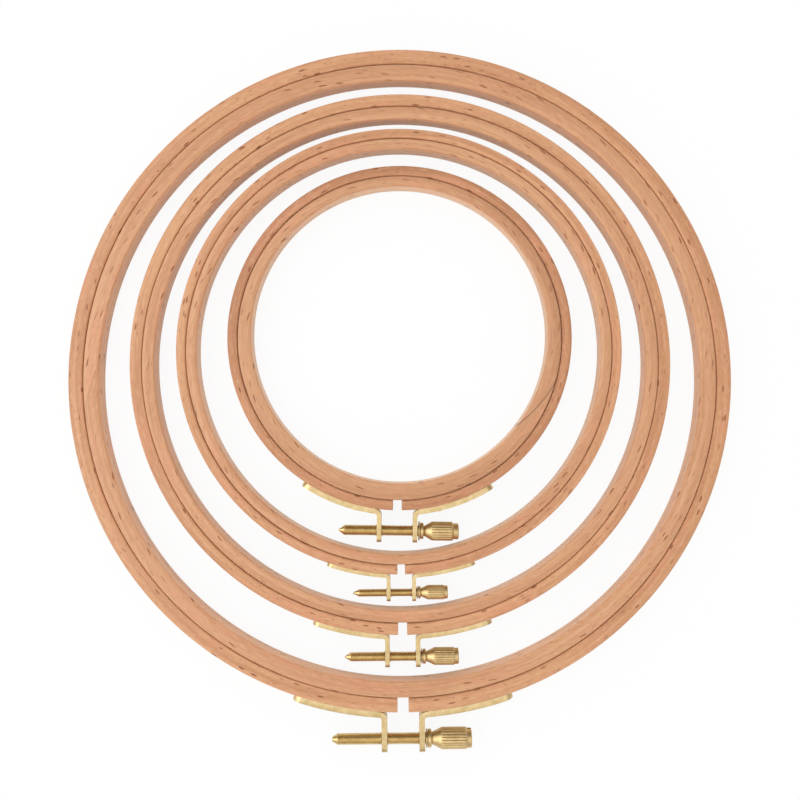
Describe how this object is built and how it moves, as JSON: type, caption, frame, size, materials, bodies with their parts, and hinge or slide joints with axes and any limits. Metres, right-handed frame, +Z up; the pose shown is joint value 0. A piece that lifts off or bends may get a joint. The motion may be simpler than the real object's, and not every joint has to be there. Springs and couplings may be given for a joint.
{
  "type": "embroidery hoop set",
  "caption": "Nested round embroidery hoops: each a solid inner ring inside a split outer ring, drawn together by brass ears and a knurled thumb screw.",
  "frame": {"origin": "middle of the whole set's outline in plan, on the surface that the hoops lie on", "axes": "+Z up along the rings' axis, -Y towards the clamp screws, +X towards the screws' knurled heads"},
  "size_m": [0.25, 0.2658, 0.008],
  "materials": {
    "beech": "sanded, unvarnished",
    "brass": "bright, fine machined"
  },
  "bodies": {
    "hoop_1_clamp_ring": {"hoop_1_outer_ring": "beech", "hoop_1_threaded_bracket": "brass", "hoop_1_plain_bracket": "brass", "hoop_1_threaded_side_pin": "brass", "hoop_1_plain_side_pin": "brass"},
    "hoop_1_inner": {"hoop_1_inner_ring": "beech"},
    "hoop_1_washer_body": {"hoop_1_washer": "brass"},
    "hoop_1_screw_body": {"hoop_1_thumb_screw": "brass"},
    "hoop_2_clamp_ring": {"hoop_2_outer_ring": "beech", "hoop_2_threaded_bracket": "brass", "hoop_2_plain_bracket": "brass", "hoop_2_threaded_side_pin": "brass", "hoop_2_plain_side_pin": "brass"},
    "hoop_2_inner": {"hoop_2_inner_ring": "beech"},
    "hoop_2_washer_body": {"hoop_2_washer": "brass"},
    "hoop_2_screw_body": {"hoop_2_thumb_screw": "brass"},
    "hoop_3_clamp_ring": {"hoop_3_outer_ring": "beech", "hoop_3_threaded_bracket": "brass", "hoop_3_plain_bracket": "brass", "hoop_3_threaded_side_pin": "brass", "hoop_3_plain_side_pin": "brass"},
    "hoop_3_inner": {"hoop_3_inner_ring": "beech"},
    "hoop_3_washer_body": {"hoop_3_washer": "brass"},
    "hoop_3_screw_body": {"hoop_3_thumb_screw": "brass"},
    "hoop_4_clamp_ring": {"hoop_4_outer_ring": "beech", "hoop_4_threaded_bracket": "brass", "hoop_4_plain_bracket": "brass", "hoop_4_threaded_side_pin": "brass", "hoop_4_plain_side_pin": "brass"},
    "hoop_4_inner": {"hoop_4_inner_ring": "beech"},
    "hoop_4_washer_body": {"hoop_4_washer": "brass"},
    "hoop_4_screw_body": {"hoop_4_thumb_screw": "brass"}
  },
  "joints": [
    {"name": "hoop_1_inner_ring_lift", "type": "slide", "parent": "hoop_1_clamp_ring", "child": "hoop_1_inner", "axis": [0, 0, 1], "range_m": [0, 0.015]},
    {"name": "hoop_1_screw_travel", "type": "slide", "parent": "hoop_1_clamp_ring", "child": "hoop_1_washer_body", "axis": [0.9999, 0.0105, 0], "range_m": [0, 0.0175]},
    {"name": "hoop_1_screw_turn", "type": "hinge", "parent": "hoop_1_washer_body", "child": "hoop_1_screw_body", "pos_m": [0.00143, -0.1282, 0.004], "axis": [0.9999, 0.0105, 0], "range_deg": [0, 9001]},
    {"name": "hoop_2_lift", "type": "slide", "parent": "hoop_1_clamp_ring", "child": "hoop_2_clamp_ring", "axis": [0, 0, 1], "range_m": [0, 0.025]},
    {"name": "hoop_2_inner_ring_lift", "type": "slide", "parent": "hoop_2_clamp_ring", "child": "hoop_2_inner", "axis": [0, 0, 1], "range_m": [0, 0.015]},
    {"name": "hoop_2_screw_travel", "type": "slide", "parent": "hoop_2_clamp_ring", "child": "hoop_2_washer_body", "axis": [0.9999, 0.0101, 0], "range_m": [0, 0.0072]},
    {"name": "hoop_2_screw_turn", "type": "hinge", "parent": "hoop_2_washer_body", "child": "hoop_2_screw_body", "pos_m": [0.00122, -0.09692, 0.004], "axis": [0.9999, 0.0101, 0], "range_deg": [0, 4321]},
    {"name": "hoop_3_lift", "type": "slide", "parent": "hoop_1_clamp_ring", "child": "hoop_3_clamp_ring", "axis": [0, 0, 1], "range_m": [0, 0.05]},
    {"name": "hoop_3_inner_ring_lift", "type": "slide", "parent": "hoop_3_clamp_ring", "child": "hoop_3_inner", "axis": [0, 0, 1], "range_m": [0, 0.015]},
    {"name": "hoop_3_screw_travel", "type": "slide", "parent": "hoop_3_clamp_ring", "child": "hoop_3_washer_body", "axis": [0.9999, 0.0105, 0], "range_m": [0, 0.003]},
    {"name": "hoop_3_screw_turn", "type": "hinge", "parent": "hoop_3_washer_body", "child": "hoop_3_screw_body", "pos_m": [0.00066, -0.07257, 0.004], "axis": [0.9999, 0.0105, 0], "range_deg": [0, 2161]},
    {"name": "hoop_4_lift", "type": "slide", "parent": "hoop_1_clamp_ring", "child": "hoop_4_clamp_ring", "axis": [0, 0, 1], "range_m": [0, 0.075]},
    {"name": "hoop_4_inner_ring_lift", "type": "slide", "parent": "hoop_4_clamp_ring", "child": "hoop_4_inner", "axis": [0, 0, 1], "range_m": [0, 0.015]},
    {"name": "hoop_4_screw_travel", "type": "slide", "parent": "hoop_4_clamp_ring", "child": "hoop_4_washer_body", "axis": [0.9999, -0.0131, 0], "range_m": [0, 0.0012]},
    {"name": "hoop_4_screw_turn", "type": "hinge", "parent": "hoop_4_washer_body", "child": "hoop_4_screw_body", "pos_m": [-0.00101, -0.04898, 0.004], "axis": [0.9999, -0.0131, 0], "range_deg": [0, 721]}
  ],
  "couplings": [
    {"joint": "hoop_1_screw_turn", "follows": "hoop_1_screw_travel", "rad_per_m": 8976},
    {"joint": "hoop_2_screw_turn", "follows": "hoop_2_screw_travel", "rad_per_m": 10472},
    {"joint": "hoop_3_screw_turn", "follows": "hoop_3_screw_travel", "rad_per_m": 12566},
    {"joint": "hoop_4_screw_turn", "follows": "hoop_4_screw_travel", "rad_per_m": 10472}
  ]
}
